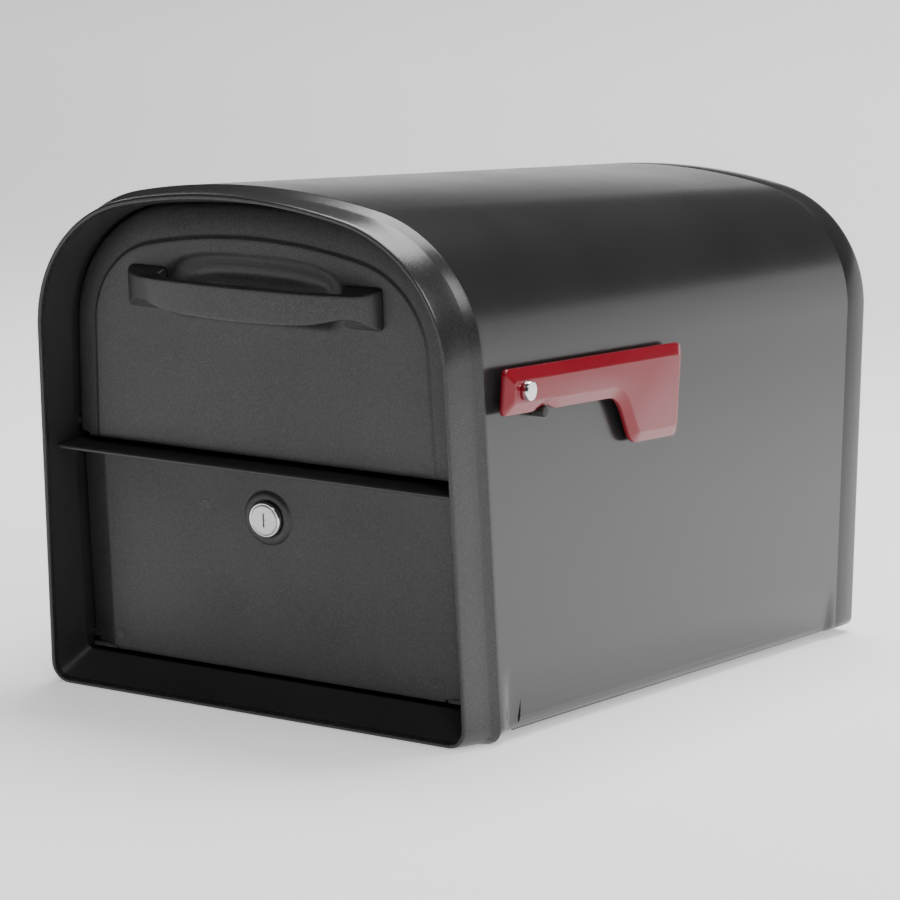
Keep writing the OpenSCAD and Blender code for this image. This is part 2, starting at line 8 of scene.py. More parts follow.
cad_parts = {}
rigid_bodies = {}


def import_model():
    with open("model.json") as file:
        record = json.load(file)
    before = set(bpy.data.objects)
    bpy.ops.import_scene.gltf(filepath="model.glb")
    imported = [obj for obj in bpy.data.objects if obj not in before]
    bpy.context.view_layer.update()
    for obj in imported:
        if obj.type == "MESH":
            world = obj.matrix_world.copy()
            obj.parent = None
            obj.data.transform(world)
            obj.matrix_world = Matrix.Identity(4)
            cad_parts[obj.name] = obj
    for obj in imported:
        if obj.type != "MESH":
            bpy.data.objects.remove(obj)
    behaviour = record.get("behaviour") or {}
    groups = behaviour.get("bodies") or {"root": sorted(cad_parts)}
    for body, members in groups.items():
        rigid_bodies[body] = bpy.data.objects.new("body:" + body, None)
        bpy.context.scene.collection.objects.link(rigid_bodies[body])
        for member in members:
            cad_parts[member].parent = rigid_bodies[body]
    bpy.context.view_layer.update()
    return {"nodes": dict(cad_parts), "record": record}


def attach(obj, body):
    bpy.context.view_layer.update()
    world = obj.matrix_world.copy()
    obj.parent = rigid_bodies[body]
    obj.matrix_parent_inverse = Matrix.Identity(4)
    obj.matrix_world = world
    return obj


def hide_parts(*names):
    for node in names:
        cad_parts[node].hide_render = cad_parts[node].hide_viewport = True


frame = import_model()

# Sizes are in millimetres here and become metres when a point is placed.
front = {"tilt": 8.6, "startY": -245.0, "drop": 4.5, "hood": 27.7, "flare": 21.0,
         "flareInset": 3.4, "lipInset": 6.8, "lip": 3.0, "collar": 47.6}
body = {"wide": 147.5, "lean": 1.32, "shoulderZ": 211.0, "shoulderR": 80.0, "crown": 295.5,
        "corner": 6.0, "seamY": 220.0, "sheet": 1.2}
tiltCos, tiltSin = cos(radians(front["tilt"])), sin(radians(front["tilt"]))


def onFront(x, depth, height):  # a point along the tilted front, in metres
    return (x / 1000,
            (front["startY"] + depth * tiltCos - height * tiltSin) / 1000,
            (-front["drop"] + depth * tiltSin + height * tiltCos) / 1000)


def inRow(x, y, z):
    return (x / 1000, y / 1000, z / 1000)


def finishMesh(bm, name, materials, sharp=32, faceOut=True):
    # edges that turn more than sharp degrees, and open edges, are shaded hard
    bmesh.ops.remove_doubles(bm, verts=bm.verts, dist=2e-6)
    loose = [v for v in bm.verts if not v.link_faces]
    bmesh.ops.delete(bm, geom=loose, context="VERTS")
    if faceOut:
        bmesh.ops.recalc_face_normals(bm, faces=bm.faces)
    for f in bm.faces:
        f.smooth = True
    for e in bm.edges:
        e.smooth = len(e.link_faces) == 2 and e.calc_face_angle(0) < radians(sharp)
    mesh = bpy.data.meshes.new(name)
    bm.to_mesh(mesh)
    bm.free()
    piece = bpy.data.objects.new(name, mesh)
    bpy.context.scene.collection.objects.link(piece)
    for m in materials:
        mesh.materials.append(m)
    return piece


def loft(bm, loops, ring=True, closed=False, capFirst=False, capLast=False, material=None):
    rows = [[bm.verts.new(p) for p in loop] for loop in loops]
    count = len(rows[0])
    pairs = list(zip(rows, rows[1:])) + ([(rows[-1], rows[0])] if closed else [])
    for k, (a, b) in enumerate(pairs):
        for i in range(count if ring else count - 1):
            j = (i + 1) % count
            f = bm.faces.new((a[i], a[j], b[j], b[i]))
            if material:
                f.material_index = material(k)
    if capFirst:
        bm.faces.new(rows[0])
    if capLast:
        bm.faces.new(rows[-1])
    return rows


def mix(a, b, t):
    return [(p[0] + (q[0] - p[0]) * t, p[1] + (q[1] - p[1]) * t) for p, q in zip(a, b)]


def place(loop, depth):  # depth is a number, or a function of the place on the front
    return [onFront(x, depth(x, v) if callable(depth) else depth, v) for x, v in loop]


def lathe(bm, profile, x, v, steps=64, **more):
    # profile is a list of (radius, depth) about an axis that runs into the front
    loft(bm, [[onFront(x + r * cos(2 * pi * i / steps), d, v + r * sin(2 * pi * i / steps))
               for i in range(steps)] for r, d in profile], **more)


def sideLathe(bm, profile, y, z, steps=48, **more):
    # profile is a list of (radius, x) about an axis along X
    loft(bm, [[inRow(x, y + r * cos(2 * pi * i / steps), z + r * sin(2 * pi * i / steps))
               for i in range(steps)] for r, x in profile], **more)


def archHalf(w, z, r, crown, lean, steps=22):
    # leaning side up to (w, z), then a shoulder of radius r and a wide crown arc to the middle
    t = radians(lean)
    cx, cz = w - tan(t) * z - r * cos(t), z - r * sin(t)
    k = cz - crown
    big = (r * r - cx * cx - k * k) / (2 * (k + r))
    join = atan2(cz - crown + big, cx)
    points = []
    for i in range(steps + 1):
        a = t + (join - t) * i / steps
        points.append((cx + r * cos(a), cz + r * sin(a)))
    for i in range(1, steps + 1):
        a = join + (pi / 2 - join) * i / steps
        points.append((big * cos(a), crown - big + big * sin(a)))
    points[-1] = (0.0, crown)
    return points


sideHeights = (46, 80, 112, 136, 147, 180)


def ringOf(foot, arch, knee=None):
    # foot is (half width, base, corner radius); knee is a (half width, height) on the side
    w, base, r = foot
    half = [((w - r) * i / 6, base) for i in range(6)]
    for i in range(9):
        a = -pi / 2 + pi / 2 * i / 8
        half.append((w - r + r * cos(a), base + r + r * sin(a)))
    low, top = half[-1], arch[0]
    even = [low[1] + (top[1] - low[1]) * k / 7 for k in range(1, 7)]
    for v in sideHeights if base < 40 else even:
        line = [low, top] if knee is None else ([low, knee] if v < knee[1] else [knee, top])
        (x0, v0), (x1, v1) = line
        half.append((x0 + (x1 - x0) * (v - v0) / (v1 - v0), v))
    half += arch
    return half + [(-x, v) for x, v in half[-2:0:-1]]


def bodyArch(inset):
    return archHalf(body["wide"] - inset, body["shoulderZ"], body["shoulderR"] - inset,
                    body["crown"] - inset, body["lean"])


def leanedArch(inset, depth):  # the body's arch where a plane of the tilted front meets it
    return [(x, (z + front["drop"] - depth * tiltSin) / tiltCos) for x, z in bodyArch(inset)]


def frontCut(inset, depth, base, r):
    return ringOf((body["wide"] - inset, base, r), leanedArch(inset, depth))


def lipRing(inset, base):
    w = body["wide"] - front["lipInset"] - inset
    arch = [(x, z / tiltCos) for x, z in archHalf(w, 210, 81 - inset, 295.2 - inset, body["lean"])]
    return ringOf((w, base, 12 - min(inset, 4)), arch)


def hopperRing(inset, base):
    arch = archHalf(137 - inset, 211, 78 - inset, 288.5 - inset, 2.6)
    return ringOf((137 - tan(radians(2.6)) * base - inset, base, 0.02), arch)


def newGroup(name, inputs, outputs):
    tree = bpy.data.node_groups.new(name, "ShaderNodeTree")
    for label, value in inputs.items():
        socket = tree.interface.new_socket(label, in_out="INPUT", socket_type="NodeSocketFloat")
        socket.default_value = value
    for label in outputs:
        tree.interface.new_socket(label, in_out="OUTPUT", socket_type="NodeSocketFloat")
    return tree, tree.nodes.new("NodeGroupInput"), tree.nodes.new("NodeGroupOutput")


def feed(tree, value, socket):  # value is another node's socket or a plain number
    if hasattr(value, "links"):
        tree.links.new(value, socket)
    else:
        socket.default_value = value


def remap(tree, value, lo, hi, toLo=0.0, toHi=1.0, kind="LINEAR"):
    node = tree.nodes.new("ShaderNodeMapRange")
    node.interpolation_type = kind
    for label, bound in (("Value", value), ("From Min", lo), ("From Max", hi),
                         ("To Min", toLo), ("To Max", toHi)):
        feed(tree, bound, node.inputs[label])
    return node.outputs["Result"]


def noise(tree, scale, detail=2.0, rough=0.5):
    coords = tree.nodes.new("ShaderNodeTexCoord")
    node = tree.nodes.new("ShaderNodeTexNoise")
    node.inputs["Detail"].default_value = detail
    node.inputs["Roughness"].default_value = rough
    tree.links.new(coords.outputs["Object"], node.inputs["Vector"])
    feed(tree, scale, node.inputs["Scale"])
    return node.outputs["Fac"]


def mathNode(tree, kind, *values):
    node = tree.nodes.new("ShaderNodeMath")
    node.operation = kind
    for socket, value in zip(node.inputs, values):
        feed(tree, value, socket)
    return node.outputs[0]


def buildSpeckleGroup():
    # fine textured coating: grain for the bump, a few bright flecks and a broad cloud
    tree, ins, outs = newGroup("speckleCoat", {"Grain scale": 2600, "Fleck scale": 1900},
                               ("Height", "Fleck", "Cloud"))
    grain = noise(tree, ins.outputs["Grain scale"], 3, 0.6)
    tree.links.new(grain, outs.inputs["Height"])
    cells = tree.nodes.new("ShaderNodeTexVoronoi")
    coords = tree.nodes.new("ShaderNodeTexCoord")
    tree.links.new(coords.outputs["Object"], cells.inputs["Vector"])
    tree.links.new(ins.outputs["Fleck scale"], cells.inputs["Scale"])
    split = tree.nodes.new("ShaderNodeSeparateColor")
    tree.links.new(cells.outputs["Color"], split.inputs["Color"])
    tree.links.new(remap(tree, split.outputs["Red"], 0.55, 1.0), outs.inputs["Fleck"])
    tree.links.new(remap(tree, noise(tree, 30, 3), 0.3, 0.7), outs.inputs["Cloud"])
    return tree


def buildHandlingGroup():
    # broad smudges, and fine dust that settles on upward faces
    tree, ins, outs = newGroup("handlingMarks", {"Smudge scale": 9, "Dust": 1.0},
                               ("Smudge", "Dust"))
    tree.links.new(remap(tree, noise(tree, ins.outputs["Smudge scale"], 4), 0.35, 0.7),
                   outs.inputs["Smudge"])
    normal = tree.nodes.new("ShaderNodeNewGeometry")
    parts = tree.nodes.new("ShaderNodeSeparateXYZ")
    tree.links.new(normal.outputs["Normal"], parts.inputs["Vector"])
    upward = remap(tree, parts.outputs["Z"], 0.5, 1.0)
    spots = remap(tree, noise(tree, 700, 2), 0.56, 0.75)
    tree.links.new(mathNode(tree, "MULTIPLY", mathNode(tree, "MULTIPLY", upward, spots),
                            ins.outputs["Dust"]), outs.inputs["Dust"])
    return tree


def buildBrushGroup():
    # drawn metal: streaks along one axis
    tree, ins, outs = newGroup("brushedStreaks", {"Streak scale": 900}, ("Streak",))
    coords = tree.nodes.new("ShaderNodeTexCoord")
    mapping = tree.nodes.new("ShaderNodeMapping")
    mapping.inputs["Scale"].default_value = (0.02, 1.0, 1.0)
    node = tree.nodes.new("ShaderNodeTexNoise")
    node.inputs["Detail"].default_value = 2
    tree.links.new(coords.outputs["Object"], mapping.inputs["Vector"])
    tree.links.new(mapping.outputs["Vector"], node.inputs["Vector"])
    tree.links.new(ins.outputs["Streak scale"], node.inputs["Scale"])
    tree.links.new(remap(tree, node.outputs["Fac"], 0.3, 0.7), outs.inputs["Streak"])
    return tree


speckleGroup = buildSpeckleGroup()
handlingGroup = buildHandlingGroup()
brushGroup = buildBrushGroup()


def useGroup(tree, group, **values):
    node = tree.nodes.new("ShaderNodeGroup")
    node.node_tree = group
    for label, value in values.items():
        node.inputs[label.replace("_", " ")].default_value = value
    return node


def tint(tree, mask, low, high):
    node = tree.nodes.new("ShaderNodeMix")
    node.data_type = "RGBA"
    node.inputs[6].default_value = (*low, 1)
    node.inputs[7].default_value = (*high, 1)
    tree.links.new(mask, node.inputs[0])
    return node.outputs[2]


def bump(tree, height, strength, distance):
    node = tree.nodes.new("ShaderNodeBump")
    node.inputs["Strength"].default_value = strength
    node.inputs["Distance"].default_value = distance
    tree.links.new(height, node.inputs["Height"])
    return node.outputs["Normal"]


def newMaterial(name, **values):
    material = bpy.data.materials.new(name)
    material.use_nodes = True
    tree = material.node_tree
    shader = tree.nodes["Principled BSDF"]
    for label, value in values.items():
        shader.inputs[label.replace("_", " ")].default_value = value
    return material, tree, shader


doorSkin = {"base": (0.027, 0.027, 0.028), "fleck": (0.075, 0.075, 0.077),
            "dark": (0.021, 0.021, 0.022), "roughLow": 0.36, "roughHigh": 0.46, "bump": 0.3}
frameSkin = {"base": (0.02, 0.02, 0.0205), "fleck": (0.05, 0.05, 0.051),
             "dark": (0.017, 0.017, 0.0175), "roughLow": 0.22, "roughHigh": 0.28, "bump": 0.1}
# hood's inner walls: the door coat with a slightly darker base and much fainter flecks, painted shade
# of the recess
hoodShadeSkin = {"base": (0.026, 0.026, 0.027), "fleck": (0.04, 0.04, 0.041),
            "dark": (0.021, 0.021, 0.022), "roughLow": 0.34, "roughHigh": 0.46, "bump": 0.08}


def texturedCoat(name, look):
    material, tree, shader = newMaterial(name)
    grain = useGroup(tree, speckleGroup)
    marks = useGroup(tree, handlingGroup, Dust=0.5)
    ground = tint(tree, grain.outputs["Cloud"], look["dark"], look["base"])
    flecked = tree.nodes.new("ShaderNodeMix")
    flecked.data_type = "RGBA"
    flecked.inputs[7].default_value = (*look["fleck"], 1)
    tree.links.new(ground, flecked.inputs[6])
    tree.links.new(mathNode(tree, "MULTIPLY", grain.outputs["Fleck"], 0.55), flecked.inputs[0])
    tree.links.new(flecked.outputs[2], shader.inputs["Base Color"])
    tree.links.new(remap(tree, marks.outputs["Smudge"], 0, 1, look["roughLow"], look["roughHigh"]),
                   shader.inputs["Roughness"])
    tree.links.new(bump(tree, grain.outputs["Height"], look["bump"], 0.0003),
                   shader.inputs["Normal"])
    return material


def glossPaint(name, low, high, roughLow, roughHigh, peel=0.05):
    material, tree, shader = newMaterial(name)
    marks = useGroup(tree, handlingGroup)
    tree.links.new(tint(tree, marks.outputs["Smudge"], low, high), shader.inputs["Base Color"])
    rough = remap(tree, marks.outputs["Smudge"], 0, 1, roughLow, roughHigh)
    tree.links.new(mathNode(tree, "ADD", rough, mathNode(
        tree, "MULTIPLY", marks.outputs["Dust"], 0.05)), shader.inputs["Roughness"])
    if peel:
        tree.links.new(bump(tree, noise(tree, 420, 2), peel, 0.0002), shader.inputs["Normal"])
    return material


def plainMetal(name, low, high, roughLow, roughHigh):
    material, tree, shader = newMaterial(name, Metallic=1.0)
    streaks = useGroup(tree, brushGroup)
    tree.links.new(tint(tree, streaks.outputs["Streak"], low, high), shader.inputs["Base Color"])
    tree.links.new(remap(tree, streaks.outputs["Streak"], 0, 1, roughLow, roughHigh),
                   shader.inputs["Roughness"])
    return material


bodyBlack = glossPaint("glossBlackPaint", (0.016, 0.016, 0.0165), (0.02, 0.02, 0.0205),
                       0.2, 0.24, 0.0)
frontGrey = texturedCoat("texturedCharcoal", doorSkin)
frameGrey = texturedCoat("frameCharcoal", frameSkin)
# the hood's inner walls get this fainter-flecked coat as painted shade
hoodShadeCoat = texturedCoat("hoodShadedCharcoal", hoodShadeSkin)
shelfBlack = glossPaint("shelfBlackPaint", (0.025, 0.025, 0.025), (0.034, 0.034, 0.034),
                        0.28, 0.36)
zincSteel = plainMetal("zincPlatedSteel", (0.42, 0.42, 0.44), (0.6, 0.6, 0.62), 0.28, 0.42)
chrome = plainMetal("polishedChrome", (0.66, 0.66, 0.67), (0.78, 0.78, 0.79), 0.08, 0.16)
lockFace = plainMetal("satinChrome", (0.5, 0.5, 0.51), (0.66, 0.66, 0.67), 0.3, 0.42)
rubberBlack = glossPaint("rubberBlack", (0.012, 0.012, 0.012), (0.02, 0.02, 0.02), 0.5, 0.7)
nylonBlack = glossPaint("nylonBlack", (0.01, 0.01, 0.01), (0.018, 0.018, 0.018), 0.3, 0.45)
flagRed = glossPaint("flagRedPaint", (0.2, 0.002, 0.011), (0.23, 0.003, 0.014), 0.2, 0.26, 0.03)
slotMaterial = {"body_black": bodyBlack, "front_grey": frontGrey, "zinc_steel": zincSteel,
                "chrome": chrome, "rubber_black": rubberBlack, "nylon_black": nylonBlack,
                "flag_red": flagRed}
print("materials ready")

view = {"place": (1.0996, -1.9144, 0.4214), "turns": (30.363, 82.312, 2.651), "lens": 143.97}
cameraData = bpy.data.cameras.new("camera")
camera = bpy.data.objects.new("camera", cameraData)
bpy.context.scene.collection.objects.link(camera)
cameraData.lens, cameraData.sensor_width = view["lens"], 36
cameraData.clip_start, cameraData.clip_end = 0.05, 60
camera.matrix_world = (Matrix.Translation(view["place"])
                       @ Matrix.Rotation(radians(view["turns"][0]), 4, "Z")
                       @ Matrix.Rotation(radians(view["turns"][1]), 4, "X")
                       @ Matrix.Rotation(radians(view["turns"][2]), 4, "Z"))
bpy.context.scene.camera = camera

# the backdrop's sizes are in metres
studio = {"floorZ": -0.0046, "reach": 5.0, "frontAt": -4.0, "wallAt": 3.0, "wallTop": 1.0,
          "bend": 0.6, "glow": 0.55, "glowLow": 0.25, "glowHigh": 0.85}


def buildBackdrop():
    bm = bmesh.new()
    bend = studio["bend"]
    bendAt = studio["wallAt"] - bend
    profile = [(studio["frontAt"], 0.0), (0.0, 0.0), (bendAt, 0.0)]
    for i in range(1, 17):
        a = pi / 2 * i / 16
        profile.append((bendAt + bend * sin(a), bend * (1 - cos(a))))
    profile.append((studio["wallAt"], studio["wallTop"]))
    loops = [[(x, y, z + studio["floorZ"]) for y, z in profile]
             for x in (-studio["reach"], -1.5, 1.5, studio["reach"])]
    loft(bm, loops, ring=False)
    material, tree, shader = newMaterial("paleBackdrop", Roughness=0.9, Specular_IOR_Level=0.1,
                                         Emission_Color=(1, 1, 1, 1))
    coords = tree.nodes.new("ShaderNodeTexCoord")
    parts = tree.nodes.new("ShaderNodeSeparateXYZ")
    tree.links.new(coords.outputs["Object"], parts.inputs["Vector"])
    glow = remap(tree, parts.outputs["Z"], studio["glowLow"], studio["glowHigh"],
                 studio["glow"], 0.0)
    tree.links.new(glow, shader.inputs["Emission Strength"])
    tree.links.new(tint(tree, noise(tree, 3.0), (0.86, 0.86, 0.86), (0.9, 0.9, 0.9)),
                   shader.inputs["Base Color"])
    finishMesh(bm, "backdrop", [material], faceOut=False)


def softbox(name, spot, target, size, power):
    data = bpy.data.lights.new(name, "AREA")
    data.shape, data.size, data.size_y = "RECTANGLE", size[0], size[1]
    data.energy = power
    lamp = bpy.data.objects.new(name, data)
    bpy.context.scene.collection.objects.link(lamp)
    lamp.location = spot
    lamp.rotation_euler = (Vector(target) - Vector(spot)).to_track_quat("-Z", "Y").to_euler()


buildBackdrop()
softbox("overhead", (0.0, 0.9, 2.5), (0.0, 0.6, 0), (1.9, 1.9), 105)
softbox("rightSide", (2.3, 0.1, 1.75), (0.1, 0, 0.2), (1.2, 0.9), 26)
softbox("frontHigh", (1.0, -1.5, 2.0), (0, -0.25, 0.2), (0.7, 0.7), 16)
world = bpy.data.worlds.new("studioWorld")
world.use_nodes = True
sky = world.node_tree.nodes["Background"]
sky.inputs["Color"].default_value = (0.9, 0.92, 0.95, 1)
sky.inputs["Strength"].default_value = 0.06
bpy.context.scene.world = world
print("stage ready")


def settle(piece, bodyName, slotName, *nodes):
    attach(piece, bodyName)
    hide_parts(*nodes)


class TreeBuilder:
    def __init__(self, name, inputs):
        self.tree = bpy.data.node_groups.new(name, "GeometryNodeTree")
        face = self.tree.interface
        face.new_socket("Geometry", in_out="INPUT", socket_type="NodeSocketGeometry")
        face.new_socket("Geometry", in_out="OUTPUT", socket_type="NodeSocketGeometry")
        self.ids = {}
        for label, kind in inputs.items():
            self.ids[label] = face.new_socket(label, in_out="INPUT", socket_type=kind).identifier
        self.ins = self.tree.nodes.new("NodeGroupInput")
        self.outs = self.tree.nodes.new("NodeGroupOutput")

    def add(self, kind, **settings):
        node = self.tree.nodes.new(kind)
        for label, value in settings.items():
            setattr(node, label, value)
        return node

    def link(self, a, b):
        self.tree.links.new(a, b)

    def close(self, geometry, materialInput):
        real = self.add("GeometryNodeRealizeInstances")
        paint = self.add("GeometryNodeSetMaterial")
        self.link(geometry, real.inputs[0])
        self.link(real.outputs[0], paint.inputs["Geometry"])
        self.link(materialInput, paint.inputs["Material"])
        self.link(paint.outputs[0], self.outs.inputs[0])


def runTree(builder, source, values, name, faceOut=True, sharp=32):
    # evaluates the tree on a source mesh and keeps the result as a plain mesh
    holder = bpy.data.objects.new(name + "Source", source)
    bpy.context.scene.collection.objects.link(holder)
    modifier = holder.modifiers.new("tree", "NODES")
    modifier.node_group = builder.tree
    for label, value in values.items():
        modifier[builder.ids[label]] = value
    graph = bpy.context.evaluated_depsgraph_get()
    mesh = bpy.data.meshes.new_from_object(holder.evaluated_get(graph))
    bpy.data.objects.remove(holder)
    materials = list(mesh.materials)
    bm = bmesh.new()
    bm.from_mesh(mesh)
    bpy.data.meshes.remove(mesh)
    return finishMesh(bm, name, materials, sharp=sharp, faceOut=faceOut)


def bodyOutline(inset, base=0.0):
    # from the bottom corner over the crown to the other corner, open below
    w, r = body["wide"] - inset, max(body["corner"] - inset, 1.5)
    arch = bodyArch(inset)
    half = [(w - r + r * cos(a), base + r + r * sin(a))
            for a in [-pi / 2 + pi / 2 * i / 10 for i in range(11)]]
    low = half[-1]
    for z in (10, 16, 22, 27, 31, 34, 36, 38, 40, 46, 90, 150):
        half.append((low[0] + (arch[0][0] - low[0]) * (z - low[1]) / (arch[0][1] - low[1]), z))
    half += arch
    return half + [(-x, z) for x, z in half[-2::-1]]


shell = {"steps": (2, 3, 3, 3, 3, 6, 100, 200, 100, 6, 3, 3, 3, 3, 2), "press": 3.0,
         "crease": 37.0, "facet": 36.0, "creaseRise": 12.0, "creaseShift": -8.0}


def buildBodyShell():
    # the outline is drawn out in steps, the last edge is laid on the tilted front,
    # and a shallow facet is pressed into both sides below the crease
    t = TreeBuilder("drawnShell", {
        "Front At": "NodeSocketFloat", "Front Slope": "NodeSocketFloat",
        "Press Depth": "NodeSocketFloat", "Crease Height": "NodeSocketFloat",
        "Material": "NodeSocketMaterial"})

    def calc(kind, *values):
        return mathNode(t.tree, kind, *values)

    given = t.ins.outputs
    ahead = t.add("ShaderNodeCombineXYZ")
    ahead.inputs["Y"].default_value = -1.0
    mesh, picked = given["Geometry"], None
    for step in shell["steps"]:
        extrude = t.add("GeometryNodeExtrudeMesh", mode="EDGES")
        t.link(ahead.outputs[0], extrude.inputs["Offset"])
        extrude.inputs["Offset Scale"].default_value = step / 1000
        t.link(mesh, extrude.inputs["Mesh"])
        if picked:
            t.link(picked, extrude.inputs["Selection"])
        mesh, picked = extrude.outputs["Mesh"], extrude.outputs["Top"]
    here = t.add("GeometryNodeInputPosition")
    parts = t.add("ShaderNodeSeparateXYZ")
    t.link(here.outputs[0], parts.inputs[0])
    x, y, z = (parts.outputs[axis] for axis in "XYZ")
    # everything is squeezed toward the seam so that it follows the front's tilt
    seam, span = body["seamY"] / 1000, sum(shell["steps"]) / 1000
    frontAt = calc("MULTIPLY_ADD", z, given["Front Slope"], given["Front At"])
    share = calc("DIVIDE", calc("SUBTRACT", seam, y), span)
    laid = calc("SUBTRACT", seam, calc("MULTIPLY", share, calc("SUBTRACT", seam, frontAt)))
    # the facet deepens below a crease that rises toward the front and fades before both ends
    ends = calc("MULTIPLY", remap(t.tree, share, 0.008, 0.03, kind="SMOOTHSTEP"),
                remap(t.tree, share, 0.992, 0.972, kind="SMOOTHSTEP"))
    slant = calc("MULTIPLY_ADD", share, shell["creaseRise"] / 1000, shell["creaseShift"] / 1000)
    deepest = calc("SUBTRACT", given["Crease Height"], shell["facet"] / 1000)
    lowered = remap(t.tree, calc("SUBTRACT", z, slant), given["Crease Height"], deepest)
    pressed = calc("MULTIPLY", calc("MULTIPLY", lowered, ends), given["Press Depth"])
    across = calc("SUBTRACT", x, calc("MULTIPLY", calc("SIGN", x), pressed))
    joined = t.add("ShaderNodeCombineXYZ")
    for value, socket in zip((across, laid, z), joined.inputs):
        t.link(value, socket)
    move = t.add("GeometryNodeSetPosition")
    t.link(mesh, move.inputs["Geometry"])
    t.link(joined.outputs[0], move.inputs["Position"])
    t.close(move.outputs["Geometry"], given["Material"])

    source = bpy.data.meshes.new("shellOutline")
    points = bodyOutline(0)
    source.from_pydata([inRow(x, body["seamY"], z) for x, z in points],
                       [(i, i + 1) for i in range(len(points) - 1)], [])
    startAt = (front["startY"] + (front["hood"] - front["drop"] * tiltSin) / tiltCos) / 1000
    values = {"Front At": startAt, "Front Slope": -tan(radians(front["tilt"])),
              "Press Depth": shell["press"] / 1000, "Crease Height": shell["crease"] / 1000,
              "Material": bodyBlack}
    sheet = runTree(t, source, values, "bodyShell", sharp=50)
    wall = sheet.modifiers.new("wall", "SOLIDIFY")
    wall.thickness, wall.offset = body["sheet"] / 1000, -1
    if sum(p.center.dot(p.normal) for p in sheet.data.polygons) < 0:  # it faced inwards
        sheet.data.flip_normals()
    settle(sheet, "housing", "body_black", "body_shell")


buildBodyShell()


def capRing(inset, base):
    # body outline with a flat bottom, as a closed ring
    half = [(0.0, base), (60.0, base), (110.0, base)]
    outline = bodyOutline(inset, base)
    half += outline[:len(outline) // 2 + 1]
    return half + [(-x, z) for x, z in half[-2:0:-1]]


capShape = {"depth": 33.0, "edge": 9.0}


def buildRearCap():
    bm = bmesh.new()
    seam, flat = body["seamY"], body["seamY"] + capShape["depth"] - capShape["edge"]
    # (y, inset, base) from the inside, round the socket in the shell, to the seam
    sections = [(flat + 6, 10.1, 7.6), (flat + 5.2, 7.1, 6.0), (flat + 3, 4.9, 5.0),
                (flat, 4.1, 4.6), (seam - 12, 4.1, 4.6), (seam - 12, 1.6, 1.8),
                (seam, 1.6, 1.8), (seam, 0.5, 0.3), (seam + 0.12, 0.15, 0.1), (seam + 0.5, 0, 0)]
    for i in range(11):
        a = pi / 2 * i / 10
        back = capShape["edge"] * (1 - cos(a))
        sections.append((flat + capShape["edge"] * sin(a), back, back * 0.6))
    loft(bm, [[inRow(x, y, z) for x, z in capRing(inset, base)] for y, inset, base in sections],
         capFirst=True, capLast=True)
    settle(finishMesh(bm, "rearCap", [bodyBlack], sharp=40), "housing", "body_black", "rear_cap")


buildRearCap()


def innerBack(inset, base=13.2, corner=1.2):
    arch = archHalf(138.1 - inset, 211, 79.1 - inset, 289.6 - inset, 2.6)
    return ringOf((131.2 - inset, base + inset, corner), arch, knee=(131.4 - inset, 147.0))


def collarRing(depth):
    # inside the body's side walls, clear of the pressed facets
    return ringOf((body["wide"] - 5, 7.5, 5), leanedArch(2.2, depth), knee=(144.3, 44.0))


def buildFrontBezel():
    # (depth, ring) once round the section: flare, lip, hood, pocket behind the doors, collar
    lip, flare, hood, collar = (front[k] for k in ("lip", "flare", "hood", "collar"))
    lipOut, lipIn = lipRing(0, 0), lipRing(lip, lip)
    sink = -tan(radians(front["tilt"]))  # keeps the foot level
    chamferFront = frontCut(front["flareInset"], flare, flare * sink, 11)
    chamferBack = frontCut(0, hood, hood * sink, 10)
    back, pocket, inside = innerBack(0, 14.0, 5), innerBack(0), innerBack(8.0)
    sections = [(hood, frontCut(0.35, hood, hood * sink + 0.35, 10)),
                (hood - 0.12, frontCut(0.08, hood, hood * sink + 0.1, 10)),
                (hood - 0.5, chamferBack), (hood - 1.2, mix(chamferFront, chamferBack, 0.98)),
                (flare + 0.4, mix(chamferFront, chamferBack, 0.06)),
                (flare - 0.6, mix(lipOut, chamferFront, 0.97))]
    sections += [(d, mix(lipOut, chamferFront, (d - 1.2) / 19.8)) for d in (14.0, 7.0, 2.6)]
    for t, d in ((0.0, 1.6), (0.04, 0.9), (0.14, 0.35), (0.3, 0.06), (0.5, 0.0), (0.7, 0.06),
                 (0.86, 0.35), (0.96, 0.9), (1.0, 1.6)):
        sections.append((d, mix(lipOut, lipIn, t)))
    hoodStart = len(sections)
    sections += [(d, mix(lipIn, back, (d - 1.6) / 22.4)) for d in (3.0, 12.0, 23.0, 24.0)]
    sections += [(24.4, pocket), (30.0, pocket), (37.2, pocket), (38.0, innerBack(0.8)),
                 (38.0, inside), (collar - 0.6, inside), (collar, innerBack(7.4)),
                 (collar, mix(collarRing(collar), innerBack(7.4), 0.3)),
                 (collar, collarRing(collar)), (28.0, collarRing(28.0)), (hood, collarRing(hood))]
    bm = bmesh.new()
    # material 1, on the hood's inner walls, is the fainter-flecked coat painted as their shade
    loft(bm, [place(loop, depth) for depth, loop in sections], closed=True,
         material=lambda k: 1 if hoodStart <= k < hoodStart + 8 else 0)
    settle(finishMesh(bm, "frontBezel", [frameGrey, hoodShadeCoat], sharp=24), "housing",
           "front_grey", "front_bezel")


buildFrontBezel()


shelf = {"top": 141.8, "thick": 2.4, "nose": 8.9, "flangeAt": 43.6, "flangeBack": 45.8,
         "flangeFoot": 124.0, "widest": 133.1, "pocketHalf": 130.9, "flangeHalf": 119.8}


def shelfHalfWidth(depth):  # narrows with the hood, then once more behind the doors
    if depth <= 22:
        return shelf["widest"] + (shelf["pocketHalf"] - shelf["widest"]) * (depth - 8) / 14
    return shelf["pocketHalf"] if depth <= 34 else shelf["flangeHalf"]


